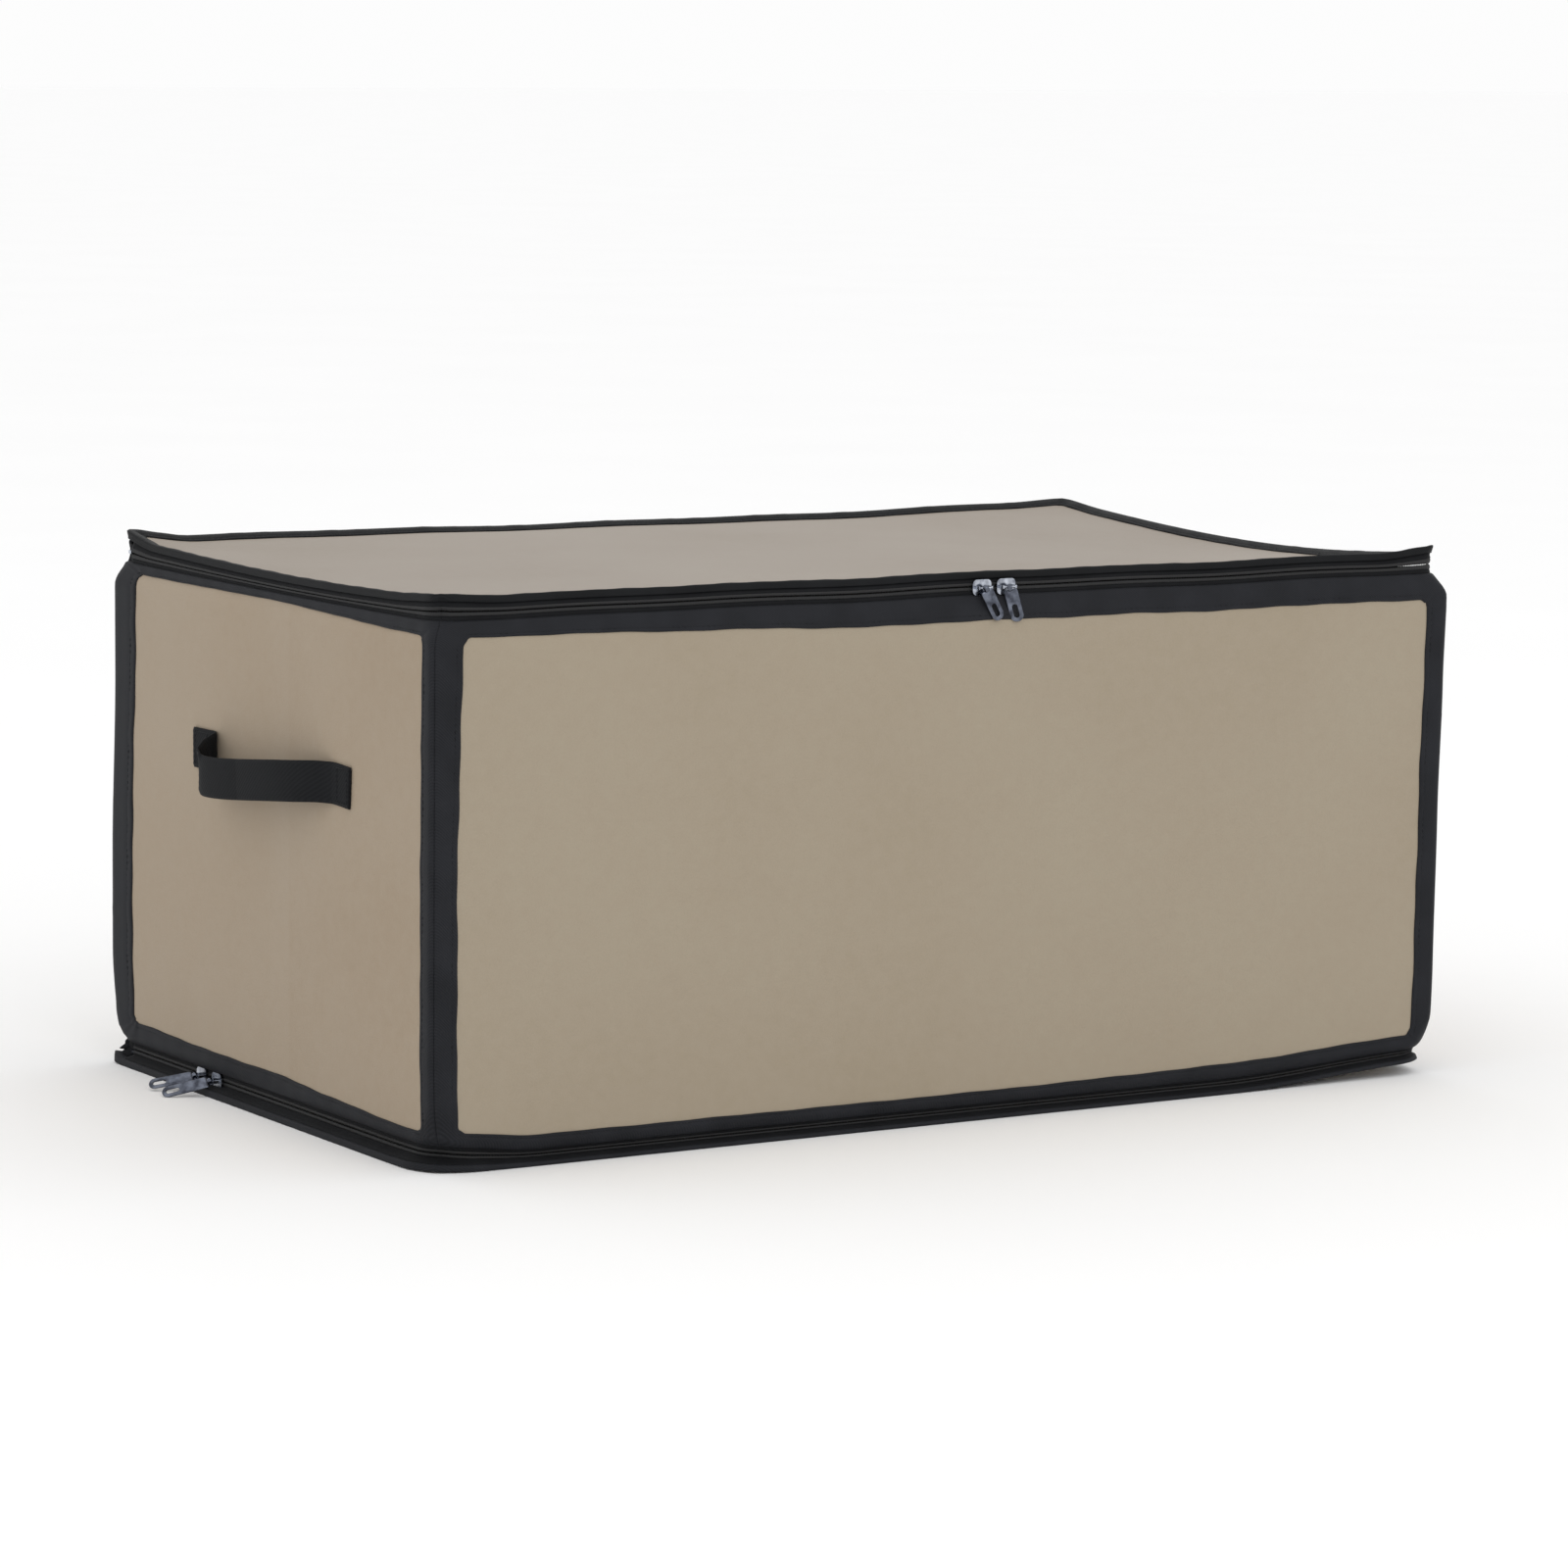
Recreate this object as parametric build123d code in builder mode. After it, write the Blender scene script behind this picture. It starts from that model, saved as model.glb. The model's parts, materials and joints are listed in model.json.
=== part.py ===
from build123d import *
import os

os.makedirs("parts", exist_ok=True)

# A zip-up fabric storage box for under a bed. Stiff boards sit between an outer cover and a lining,
# and a binding tape edges every panel. One zipper opens the lid, which is hinged at the back, and a
# second zipper frees the bottom, so that the two sides fold inwards at their middle creases and the
# box lies flat. Millimetres, +X right, +Y to the back, +Z up. The origin is the middle of the
# underside, on the floor.

# ---- outside size ----
LENGTH = 600.0
DEPTH = 360.0
HEIGHT = 280.0

# ---- layers of a panel, from the outside in ----
TAPE = 0.6  # binding tape, over the cover
COVER = 0.6
BOARD = 2.0
LINING = 0.4
COVER_IN = TAPE + COVER
BOARD_IN = COVER_IN + BOARD
PANEL_IN = BOARD_IN + LINING

# ---- plan corners ----
LID_CORNER = 8.0
BASE_FRONT_CORNER = 30.0
BASE_BACK_CORNER = 12.0

# ---- zippers ----
ZIP_DEPTH = 1.7  # middle of the zipper, below the outside face
COIL_THICK = 2.0
COIL_WIDE = 1.7
COIL_GAP = 1.0  # between the two rows of coil, where the slider's post runs
ZIP_TAPE = 0.6
TOP_ZIP_Z = 272.0
BOTTOM_ZIP_Z = 8.0
ZIP_END_Y = 165.0  # both zippers run round the front from one back corner to the other
STOP_LONG = 3.0
JOIN_GAP = 0.02  # between the lengths that one zipper is laid in

# ---- heights of the panels ----
BASE_TOP = 3.6
WALL_LOW = 12.5
WALL_HIGH = 267.5
BACK_LOW = 4.6
BACK_HIGH = 275.2
LID_LOW = 276.4

# ---- binding tape ----
RIM_WIDE = 9.6
CORNER_WIDE = 12.5
LEAF_CORNER_WIDE = 16.0
RIM_LOW = (12.4, 12.4 + RIM_WIDE)
RIM_HIGH = (267.6 - RIM_WIDE, 267.6)
LID_EDGE_LOW = 276.2
LID_FLAP = 5.0
HINGE_TAPE_WIDE = 14.0

# ---- clearances ----
LEAF_CLEAR = 0.3  # a side's end and the wall that it turns on
CREASE_CLEAR = 0.15  # each half of a side and its crease

# ---- sliders and pulls ----
PLATE_LONG = 11.0
PLATE_WIDE = 8.0
PLATE_THICK = 0.9
PLATE_GAP = 1.3  # zipper's middle to the near face of each plate
PLATE_CORNER = 2.4
POST_LONG = 3.0
POST_THICK = 0.8
POST_SET_BACK = 0.4  # from the plates' nose
BRIDGE_RISE = 3.0  # outer plate to the middle of the bridge bar
BRIDGE_HALF = 4.2
BRIDGE_BAR = 1.0
BRIDGE_LEG = (0.9, 1.6)
PULL_WIDE = 6.4
PULL_THICK = 1.0
PULL_CORNER = 2.4
PULL_EYE = (3.0, 2.5)  # across and along the pull
PULL_EYE_CORNER = 0.4
PULL_EYE_TOP = 0.9  # bridge bar's middle to the eye's top
PULL_TOP = 1.9
PULL_REACH = 21.0
PULL_TWIST = 50.0
PULL_SLOT = (6.4, 2.6)
PULL_TIP = 1.8  # from the slot to the pull's tip
TOP_SLIDERS_X = {"left": 9.5, "right": 24.0}
BOTTOM_SLIDERS_Y = {"front": 61.0, "rear": 79.0}
BOTTOM_PULL_DROOP = 12.0  # below level, so that the tip hangs just over the floor

# ---- webbing handles ----
STRAP_WIDE = 21.0
STRAP_THICK = 1.6
STRAP_LOW = 166.0
STRAP_BEND = 7.0
# distance from the middle crease, towards the back, and how far the strap stands off the cover
STRAP_ROUTE = [(85, 0), (64, 0), (52, 13), (15, 15), (-48, 12), (-76, 0), (-93, 0)]

# ---- outside faces: each plane's own x runs to the right as seen from outside, y runs up ----
FRONT = Plane(origin=(0, -DEPTH / 2, 0), x_dir=(1, 0, 0), z_dir=(0, -1, 0))
BACK = Plane(origin=(0, DEPTH / 2, 0), x_dir=(-1, 0, 0), z_dir=(0, 1, 0))
LEFT = Plane(origin=(-LENGTH / 2, 0, 0), x_dir=(0, -1, 0), z_dir=(-1, 0, 0))
RIGHT = Plane(origin=(LENGTH / 2, 0, 0), x_dir=(0, 1, 0), z_dir=(1, 0, 0))


def save(builder, name):
    builder.part.label = name
    export_step(builder.part, f"parts/{name}.step")


def slab(face, across, up, deep):
    """A flat piece on an outside face: its run across, its run up, and its depth below the face."""
    with BuildSketch(face.offset(-deep[1])) as shape:
        with Locations((sum(across) / 2, sum(up) / 2)):
            Rectangle(across[1] - across[0], up[1] - up[0])
    extrude(shape.sketch, amount=deep[1] - deep[0])


def outline(height, inset, front_corner, back_corner):
    """The box's plan at one height, a step inside its outside faces."""
    with BuildSketch(Plane.XY.offset(height)) as plan:
        Rectangle(LENGTH - 2 * inset, DEPTH - 2 * inset)
        corners = plan.vertices().group_by(Axis.Y)
        fillet(corners[0], front_corner - inset)
        fillet(plan.vertices().filter_by(lambda v: v.Y > 0).sort_by(Axis.Y)[-2:], back_corner - inset)
    return plan.sketch


def sheet(heights, inset, corners):
    """A flat sheet of the box's plan between two heights."""
    with BuildPart() as layer:
        extrude(outline(heights[0], inset, *corners), amount=heights[1] - heights[0])
    return layer


def ring(heights, insets, corners):
    """A band round the box's plan between two heights and two insets."""
    tall = heights[1] - heights[0]
    extrude(outline(heights[0], insets[0], *corners), amount=tall)
    extrude(outline(heights[0], insets[1], *corners), amount=tall, mode=Mode.SUBTRACT)


def zip_round(heights, thick, corner):
    """One side of a zipper round the left, the front and the right: three straights, two corners."""
    near, far = ZIP_DEPTH - thick / 2, ZIP_DEPTH + thick / 2
    tall = heights[1] - heights[0]
    straight_x = LENGTH / 2 - corner - JOIN_GAP
    straight_y = DEPTH / 2 - corner - JOIN_GAP
    with BuildPart() as zip_row:
        slab(FRONT, (-straight_x, straight_x), heights, (near, far))
        slab(LEFT, (-ZIP_END_Y, straight_y), heights, (near, far))
        slab(RIGHT, (-straight_y, ZIP_END_Y), heights, (near, far))
        for side in (-1, 1):
            with BuildSketch(Plane.XY.offset(heights[0])) as bend:
                with Locations((side * (LENGTH / 2 - corner), corner - DEPTH / 2)):
                    Circle(corner - near)
                    Circle(corner - far, mode=Mode.SUBTRACT)
                    Rectangle(
                        corner, corner, align=(Align.MIN if side > 0 else Align.MAX, Align.MAX),
                        mode=Mode.INTERSECT,
                    )
            extrude(bend.sketch, amount=tall)
    return zip_row


# ---- base and lid: board, cover, lining, binding, and their half of a zipper ----
BASE_CORNERS = (BASE_FRONT_CORNER, BASE_BACK_CORNER)
LID_CORNERS = (LID_CORNER, LID_CORNER)

base_layers = {
    "cover": (0, COVER),
    "board": (COVER, BASE_TOP - LINING),
    "lining": (BASE_TOP - LINING, BASE_TOP),
}
lid_layers = {
    "lining": (LID_LOW, LID_LOW + LINING),
    "board": (LID_LOW + LINING, HEIGHT - TAPE - COVER),
    "cover": (HEIGHT - TAPE - COVER, HEIGHT - TAPE),
}
for layer, heights in base_layers.items():
    save(sheet(heights, TAPE, BASE_CORNERS), f"base_{layer}")
for layer, heights in lid_layers.items():
    save(sheet(heights, TAPE, LID_CORNERS), f"lid_{layer}")

with BuildPart() as base_binding:
    ring((0, BASE_TOP), (0, TAPE), BASE_CORNERS)
save(base_binding, "base_binding")

with BuildPart() as lid_binding:
    ring((HEIGHT - TAPE, HEIGHT), (0, LID_FLAP), LID_CORNERS)
    extrude(outline(LID_EDGE_LOW, 0, *LID_CORNERS), amount=HEIGHT - TAPE - LID_EDGE_LOW)
    extrude(
        outline(LID_EDGE_LOW, TAPE, *LID_CORNERS), amount=HEIGHT - TAPE - LID_EDGE_LOW, mode=Mode.SUBTRACT
    )
save(lid_binding, "lid_binding")

coil_off = COIL_GAP / 2
coil_end = coil_off + COIL_WIDE
base_coil = (BOTTOM_ZIP_Z - coil_end, BOTTOM_ZIP_Z - coil_off)
lid_coil = (TOP_ZIP_Z + coil_off, TOP_ZIP_Z + coil_end)
wall_coils = (
    (BOTTOM_ZIP_Z + coil_off, BOTTOM_ZIP_Z + coil_end),
    (TOP_ZIP_Z - coil_end, TOP_ZIP_Z - coil_off),
)
wall_tapes = ((wall_coils[0][1], WALL_LOW), (WALL_HIGH, wall_coils[1][0]))
save(zip_round(base_coil, COIL_THICK, BASE_FRONT_CORNER), "base_zip_coil")
save(zip_round((BASE_TOP, base_coil[0]), ZIP_TAPE, BASE_FRONT_CORNER), "base_zip_tape")
save(zip_round(lid_coil, COIL_THICK, LID_CORNER), "lid_zip_coil")
save(zip_round((lid_coil[1], LID_LOW), ZIP_TAPE, LID_CORNER), "lid_zip_tape")

for name, heights in (("bottom_zip_stops", base_coil), ("top_zip_stops", lid_coil)):
    with BuildPart() as stops:
        deep = (ZIP_DEPTH - COIL_THICK / 2, ZIP_DEPTH + COIL_THICK / 2)
        slab(LEFT, (-ZIP_END_Y - STOP_LONG, -ZIP_END_Y), heights, deep)
        slab(RIGHT, (ZIP_END_Y, ZIP_END_Y + STOP_LONG), heights, deep)
    save(stops, name)

# ---- walls: the front and back run full width, and each side is two leaves between them ----
layer_depths = {"cover": (TAPE, COVER_IN), "board": (COVER_IN, BOARD_IN), "lining": (BOARD_IN, PANEL_IN)}
full_run = (TAPE - LENGTH / 2, LENGTH / 2 - TAPE)
leaf_end = DEPTH / 2 - PANEL_IN - LEAF_CLEAR
minus_leaf = (-leaf_end, -CREASE_CLEAR)
plus_leaf = (CREASE_CLEAR, leaf_end)
walls = {
    "front": (FRONT, full_run, (WALL_LOW, WALL_HIGH)),
    "back": (BACK, full_run, (BACK_LOW, BACK_HIGH)),
    "left_rear": (LEFT, minus_leaf, (WALL_LOW, WALL_HIGH)),
    "left_front": (LEFT, plus_leaf, (WALL_LOW, WALL_HIGH)),
    "right_front": (RIGHT, minus_leaf, (WALL_LOW, WALL_HIGH)),
    "right_rear": (RIGHT, plus_leaf, (WALL_LOW, WALL_HIGH)),
}
for wall, (face, run, heights) in walls.items():
    for layer, deep in layer_depths.items():
        with BuildPart() as panel:
            slab(face, run, heights, deep)
        save(panel, f"{wall}_{layer}")

# the front's and back's bindings turn round the ends of their panels
with BuildPart() as front_binding:
    for rim in (RIM_LOW, RIM_HIGH):
        slab(FRONT, (-LENGTH / 2, LENGTH / 2), rim, (0, TAPE))
    for side in (-1, 1):
        flap = sorted((side * LENGTH / 2, side * (LENGTH / 2 - CORNER_WIDE)))
        end = sorted((side * LENGTH / 2, side * (LENGTH / 2 - TAPE)))
        slab(FRONT, flap, (RIM_LOW[0], RIM_HIGH[1]), (0, TAPE))
        slab(FRONT, end, (RIM_LOW[0], RIM_HIGH[1]), (0, PANEL_IN))
save(front_binding, "front_binding")

with BuildPart() as back_binding:
    for side in (-1, 1):
        flap = sorted((side * LENGTH / 2, side * (LENGTH / 2 - CORNER_WIDE)))
        end = sorted((side * LENGTH / 2, side * (LENGTH / 2 - TAPE)))
        slab(BACK, flap, (BACK_LOW, BACK_HIGH), (0, TAPE))
        slab(BACK, end, (BACK_LOW, BACK_HIGH), (0, PANEL_IN))
save(back_binding, "back_binding")

# the tapes that hinge the lid and the base to the back wall, between its corner bindings
hinge_run = (CORNER_WIDE - LENGTH / 2, LENGTH / 2 - CORNER_WIDE)
hinge_tapes = {
    "lid_hinge_tape": (BACK_HIGH - HINGE_TAPE_WIDE, BACK_HIGH),
    "base_hinge_tape": (BACK_LOW, BACK_LOW + HINGE_TAPE_WIDE),
}
for name, heights in hinge_tapes.items():
    with BuildPart() as hinge_tape:
        slab(BACK, hinge_run, heights, (0, TAPE))
    save(hinge_tape, name)

for wall in ("left_rear", "left_front", "right_front", "right_rear"):
    face, run, heights = walls[wall]
    corner = run[0] if abs(run[0]) > abs(run[1]) else run[1]
    inner = corner - LEAF_CORNER_WIDE if corner > 0 else corner + LEAF_CORNER_WIDE
    with BuildPart() as leaf_binding:
        for rim in (RIM_LOW, RIM_HIGH):
            slab(face, run, rim, (0, TAPE))
        slab(face, sorted((corner, inner)), (RIM_LOW[0], RIM_HIGH[1]), (0, TAPE))
    save(leaf_binding, f"{wall}_binding")

# ---- the walls' halves of the two zippers, straight up to where each corner starts to turn ----
for wall in ("front", "left_rear", "left_front", "right_front", "right_rear"):
    face, run, heights = walls[wall]
    half = LENGTH / 2 if wall == "front" else DEPTH / 2
    for kind, rows, thick in (("tapes", wall_tapes, ZIP_TAPE), ("coils", wall_coils, COIL_THICK)):
        with BuildPart() as zip_rows:
            for row, corner in zip(rows, (BASE_FRONT_CORNER, LID_CORNER)):
                limit = ZIP_END_Y if wall.endswith("rear") else half - corner
                ends = [max(-limit, min(limit, end)) for end in run]
                slab(face, ends, row, (ZIP_DEPTH - thick / 2, ZIP_DEPTH + thick / 2))
        save(zip_rows, f"{wall}_zip_{kind}")


def slider_plane(face, along, height):
    """Middle of a slider: x along the zipper, y up, z out of the box."""
    place = face.offset(-ZIP_DEPTH)
    return Plane(origin=place.from_local_coords((along, height, 0)), x_dir=place.x_dir, z_dir=place.z_dir)


def slider(place, nose):
    """Two plates joined by a post between the coils, and a bridge that the pull hangs on."""
    leg_x = BRIDGE_HALF - BRIDGE_LEG[0] / 2
    plate_top = PLATE_GAP + PLATE_THICK
    bridge_z = plate_top + BRIDGE_RISE
    with BuildPart() as body:
        for low in (-plate_top, PLATE_GAP):
            with BuildSketch(place.offset(low)) as plate:
                RectangleRounded(PLATE_LONG, PLATE_WIDE, PLATE_CORNER)
            extrude(plate.sketch, amount=PLATE_THICK)
        with BuildSketch(place.offset(-PLATE_GAP)) as post:
            with Locations((nose * (PLATE_LONG / 2 - POST_LONG / 2 - POST_SET_BACK), 0)):
                Rectangle(POST_LONG, POST_THICK)
        extrude(post.sketch, amount=2 * PLATE_GAP)
        with BuildSketch(place.offset(plate_top)) as legs:
            with Locations((-leg_x, 0), (leg_x, 0)):
                Rectangle(*BRIDGE_LEG)
        extrude(legs.sketch, amount=BRIDGE_RISE + BRIDGE_BAR / 2)
        bar_start = place.from_local_coords((-BRIDGE_HALF, 0, bridge_z))
        with BuildSketch(Plane(origin=bar_start, x_dir=place.y_dir, z_dir=place.x_dir)) as bar:
            Circle(BRIDGE_BAR / 2)
        extrude(bar.sketch, amount=2 * BRIDGE_HALF)
    return body


def pull(place, twist, lift):
    """A flat tab that hangs from the bridge, turned about its own length and lifted off straight down."""
    pivot = place.from_local_coords((0, 0, PLATE_GAP + PLATE_THICK + BRIDGE_RISE))
    down = (-place.y_dir).rotate(Axis((0, 0, 0), place.x_dir), -lift)
    out = place.z_dir.rotate(Axis((0, 0, 0), place.x_dir), -lift)
    normal = out.rotate(Axis((0, 0, 0), down), twist)
    tab_plane = Plane(origin=pivot, x_dir=down, z_dir=normal)
    with BuildPart() as tab:
        with BuildSketch(tab_plane.offset(-PULL_THICK / 2)) as shape:
            with Locations(((PULL_REACH - PULL_TOP) / 2, 0)):
                RectangleRounded(PULL_REACH + PULL_TOP, PULL_WIDE, PULL_CORNER)
            with Locations((PULL_EYE[1] / 2 - PULL_EYE_TOP, 0)):
                RectangleRounded(PULL_EYE[1], PULL_EYE[0], PULL_EYE_CORNER, mode=Mode.SUBTRACT)
            with Locations((PULL_REACH - PULL_SLOT[0] / 2 - PULL_TIP, 0)):
                SlotOverall(*PULL_SLOT, mode=Mode.SUBTRACT)
        extrude(shape.sketch, amount=PULL_THICK)
    return tab


for side, x in TOP_SLIDERS_X.items():
    place = slider_plane(FRONT, x, TOP_ZIP_Z)
    facing = 1 if side == "left" else -1
    save(slider(place, facing), f"top_slider_{side}")
    save(pull(place, -facing * PULL_TWIST, 0), f"top_pull_{side}")

for end, y in BOTTOM_SLIDERS_Y.items():
    place = slider_plane(LEFT, -y, BOTTOM_ZIP_Z)
    facing = -1 if end == "front" else 1
    save(slider(place, facing), f"bottom_slider_{end}")
    save(pull(place, facing * PULL_TWIST, 90 - BOTTOM_PULL_DROOP), f"bottom_pull_{end}")

# ---- handles: one strap on each side, its two ends sewn to the cover ----
for side, name in ((-1, "left_handle"), (1, "right_handle")):
    cover_face = LENGTH / 2 - TAPE
    middle = cover_face + STRAP_THICK / 2
    points = [(side * (middle + out), back) for back, out in STRAP_ROUTE]
    with BuildPart() as handle:
        with BuildSketch(Plane.XY.offset(STRAP_LOW)) as strap:
            with BuildLine() as route:
                FilletPolyline(points, radius=STRAP_BEND)
            trace(route.line, line_width=STRAP_THICK)
        extrude(strap.sketch, amount=STRAP_WIDE)
    save(handle, name)
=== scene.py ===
import json
import math

import bmesh
import bpy
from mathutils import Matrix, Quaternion, Vector


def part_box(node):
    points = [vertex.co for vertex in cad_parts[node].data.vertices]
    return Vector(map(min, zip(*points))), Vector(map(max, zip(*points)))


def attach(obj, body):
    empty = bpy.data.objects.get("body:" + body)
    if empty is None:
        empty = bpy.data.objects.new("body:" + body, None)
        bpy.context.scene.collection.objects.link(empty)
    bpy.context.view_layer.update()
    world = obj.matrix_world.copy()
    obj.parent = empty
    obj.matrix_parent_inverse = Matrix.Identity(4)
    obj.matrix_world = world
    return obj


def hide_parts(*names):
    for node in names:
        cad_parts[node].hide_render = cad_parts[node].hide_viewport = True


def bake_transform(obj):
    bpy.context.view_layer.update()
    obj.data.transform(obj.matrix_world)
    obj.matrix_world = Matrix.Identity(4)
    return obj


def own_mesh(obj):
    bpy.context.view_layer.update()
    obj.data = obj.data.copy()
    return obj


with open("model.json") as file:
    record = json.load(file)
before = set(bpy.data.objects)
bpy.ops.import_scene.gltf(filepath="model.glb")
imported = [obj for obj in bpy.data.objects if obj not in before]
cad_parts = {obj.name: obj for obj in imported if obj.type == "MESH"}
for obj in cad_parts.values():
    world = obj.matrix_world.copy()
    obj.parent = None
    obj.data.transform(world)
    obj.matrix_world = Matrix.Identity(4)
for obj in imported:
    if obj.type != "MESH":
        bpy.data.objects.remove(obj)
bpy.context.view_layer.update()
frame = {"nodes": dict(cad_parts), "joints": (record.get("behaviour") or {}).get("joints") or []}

# The box is soft, so every fabric piece is laid out on the flat faces of the CAD box and then goes through
# one warp, which rounds the corners, presses the zippers in and lets the lid sag. Pieces that touch in the
# flat layout still touch after it. Metres throughout.

BOX_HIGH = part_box("lid_binding")[1]
HALF_L, HALF_D, HEIGHT = BOX_HIGH[0], BOX_HIGH[1], BOX_HIGH[2]
MM = 0.001

# heights of the walls' panels and of the two zippers
WALL_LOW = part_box("front_binding")[0][2]
WALL_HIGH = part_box("front_binding")[1][2]
BACK_LOW, BACK_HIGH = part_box("back_binding")[0][2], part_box("back_binding")[1][2]
BASE_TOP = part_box("base_binding")[1][2]
LID_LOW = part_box("lid_binding")[0][2]
PANEL_DEEP = 3.6 * MM
ZIP_DEEP = 1.7 * MM
ZIP_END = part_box("lid_zip_coil")[1][1]

# height profiles of the warp: (height, value) knots in mm
CORNER_FRONT = ((0, 25), (34, 5), (255, 5), (268, 8))  # radius of the front corners
CORNER_BACK = ((0, 7), (10, 7), (13.5, 16), (21, 7), (40, 5), (255, 5), (268, 8))
PROUD = (  # how far the left and the front stand off the zippers
    (0, 3.2), (3.6, 3.0), (5.6, 0.1), (10.6, 0.1), (17, 2.6), (60, 3.6), (256, 3.4), (268, 0.0),
)
LEFT_LIP = ((0, 2.8), (3.8, 2.8), (5.6, 0), (274.2, 0), (277.5, -1.6))  # the base's lip and the lid's inset
RIGHT_LEAN = (
    (0, 1), (5.6, 0), (14, -1.0), (60, -0.8), (140, 0), (210, 1.6), (256, 2.8), (268, 0),
)
LID_FRONT_INSET = ((274.2, 0), (277.5, -2.4))
LID_BACK_INSET = ((275.7, 0), (277.5, 0.9))
BACK_CORNER_FULL = ((14, 0), (30, 2.6), (60, 4.4), (110, 4.2), (210, 0))


# ---------------------------------------------------------------------------------------------------
# the warp
# ---------------------------------------------------------------------------------------------------

def smooth(t):
    t = min(max(t, 0.0), 1.0)
    return t * t * (3 - 2 * t)


def bump(distance, width):
    return math.exp(-(distance / width) ** 2)


def rises(z, *knots):
    """A smooth height profile through (height, value) knots, in mm."""
    z /= MM
    if z <= knots[0][0]:
        return knots[0][1] * MM
    for (z0, v0), (z1, v1) in zip(knots, knots[1:]):
        if z < z1:
            return (v0 + (v1 - v0) * smooth((z - z0) / (z1 - z0))) * MM
    return knots[-1][1] * MM


def corner_radius(y, z):
    """Radius of the box's vertical corners in plan: large near the floor, small above."""
    if y < 0:
        return rises(z, *CORNER_FRONT)
    return rises(z, *CORNER_BACK)


def round_corner(x, y, z):
    r = corner_radius(y, z)
    over_x, over_y = abs(x) - (HALF_L - r), abs(y) - (HALF_D - r)
    if over_x > 0 and over_y > 0:
        k = max(over_x, over_y) / math.hypot(over_x, over_y)
        x = math.copysign(HALF_L - r + over_x * k, x)
        y = math.copysign(HALF_D - r + over_y * k, y)
    return x, y


def near_corner(x, y, reach):
    """1 at the box's vertical corners, falling to 0 over a reach along both walls."""
    return smooth(1 - (HALF_L - abs(x)) / reach) * smooth(1 - (HALF_D - abs(y)) / reach)


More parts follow.
